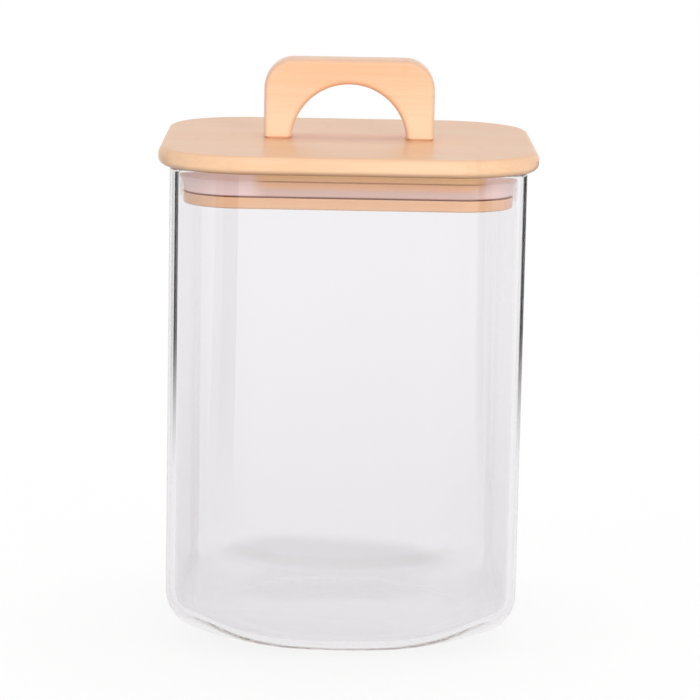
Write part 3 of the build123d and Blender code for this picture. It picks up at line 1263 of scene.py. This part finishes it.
def photo_camera(stage, target):
    """A camera aimed so that the target falls on its pixel, with the picture's small roll."""
    back = Vector((
        math.sin(stage.azimuth) * math.cos(stage.elevation),
        -math.cos(stage.azimuth) * math.cos(stage.elevation),
        math.sin(stage.elevation),
    ))
    half = stage.picture / 2
    sight = Vector((
        (stage.middle_x - half) / stage.focal_pixels,
        -(stage.middle_y - half) / stage.focal_pixels,
        -1,
    ))
    data = bpy.data.cameras.new("photo_camera")
    data.sensor_width = SENSOR_WIDTH
    data.lens = data.sensor_width * stage.focal_pixels / stage.picture
    camera = bpy.data.objects.new("photo_camera", data)
    camera.location = target + back * stage.distance
    camera.rotation_mode = "QUATERNION"
    aim = back.to_track_quat("Z", "Y") @ Quaternion(UP, stage.roll)
    camera.rotation_quaternion = aim @ Vector((0, 0, -1)).rotation_difference(sight).inverted()
    bpy.context.scene.collection.objects.link(camera)
    bpy.context.scene.camera = camera


class CANISTER_OT_stage(bpy.types.Operator):
    """Set up the floor and its dark lanes, the white surroundings, the lamps and the camera"""

    bl_idname = "canister.stage"
    bl_label = "Stage"

    def execute(self, context):
        scene = context.scene
        stage = scene.canister.stage
        light = stage.ambient
        light += broad_lamp("key_lamp", stage.key, KEY_SIDE, stage.key_spread)
        light += broad_lamp("fill_lamp", stage.fill, FILL_SIDE, stage.spread)
        light += broad_lamp("top_lamp", stage.top, TOP_SIDE, stage.spread)
        bm = bmesh.new()
        below = Matrix.Translation(-UP * stage.gap)
        bmesh.ops.create_grid(bm, x_segments=1, y_segments=1, size=FLOOR_REACH, matrix=below)
        floor = finish_mesh("floor", bm, floor_finish(stage, light))
        lanes = (
            ("wall", stage.gap, lane_finish("lane_in_wall", stage, skins=2)),
            ("face", 2 * stage.gap, lane_finish("lane_on_face", stage, skins=0)),
        )
        for side in LANE_SIDES:
            for hand in ("left", "right"):
                near = getattr(stage, f"{hand}_near")
                for kind, height, finish in lanes:
                    far = getattr(stage, f"{hand}_{kind}")
                    dark_lane(f"{hand}_{kind}_lane_{side}", side, near, far, height, stage, finish)
        scene.world = white_world(stage)
        photo_camera(stage, target=UP * (JAR_HIGH.z / 2))
        scene.view_settings.view_transform = "Standard"
        for limit in ("max_bounces", "glossy_bounces", "transmission_bounces"):
            setattr(scene.cycles, limit, stage.turns)
        return {"FINISHED"}


OPERATORS = (
    CANISTER_OT_glass_jar,
    CANISTER_OT_lid_board,
    CANISTER_OT_lid_plug,
    CANISTER_OT_seal_ring,
    CANISTER_OT_handle,
    CANISTER_OT_handle_screws,
    CANISTER_OT_stage,
)


class CANISTER_PT_sidebar(bpy.types.Panel):
    """The canister's operators and settings"""

    bl_idname = "CANISTER_PT_sidebar"
    bl_label = "Canister"
    bl_space_type = "VIEW_3D"
    bl_region_type = "UI"
    bl_category = "Canister"

    def draw(self, context):
        layout = self.layout
        for operator in OPERATORS:
            layout.operator(operator.bl_idname)
        settings = context.scene.canister
        for group in ("jar", "lid", "seal", "handle", "screws", "bamboo", "stage"):
            box = layout.box()
            box.label(text=group.title())
            for name in getattr(settings, group).__annotations__:
                box.prop(getattr(settings, group), name)


CLASSES = (
    JarSettings,
    LidSettings,
    SealSettings,
    HandleSettings,
    ScrewSettings,
    BambooSettings,
    StageSettings,
    CanisterSettings,
    *OPERATORS,
    CANISTER_PT_sidebar,
)


def register():
    """Add the classes and the scene's settings to Blender."""
    for kind in CLASSES:
        bpy.utils.register_class(kind)
    bpy.types.Scene.canister = PointerProperty(type=CanisterSettings)


def unregister():
    """Take the settings and the classes out again."""
    del bpy.types.Scene.canister
    for kind in reversed(CLASSES):
        bpy.utils.unregister_class(kind)


def main():
    """Build the pieces and the stage."""
    register()
    bpy.ops.canister.glass_jar()
    bpy.ops.canister.lid_board()
    bpy.ops.canister.lid_plug()
    bpy.ops.canister.seal_ring()
    bpy.ops.canister.handle()
    bpy.ops.canister.handle_screws()
    bpy.ops.canister.stage()


if __name__ == "__main__":
    main()
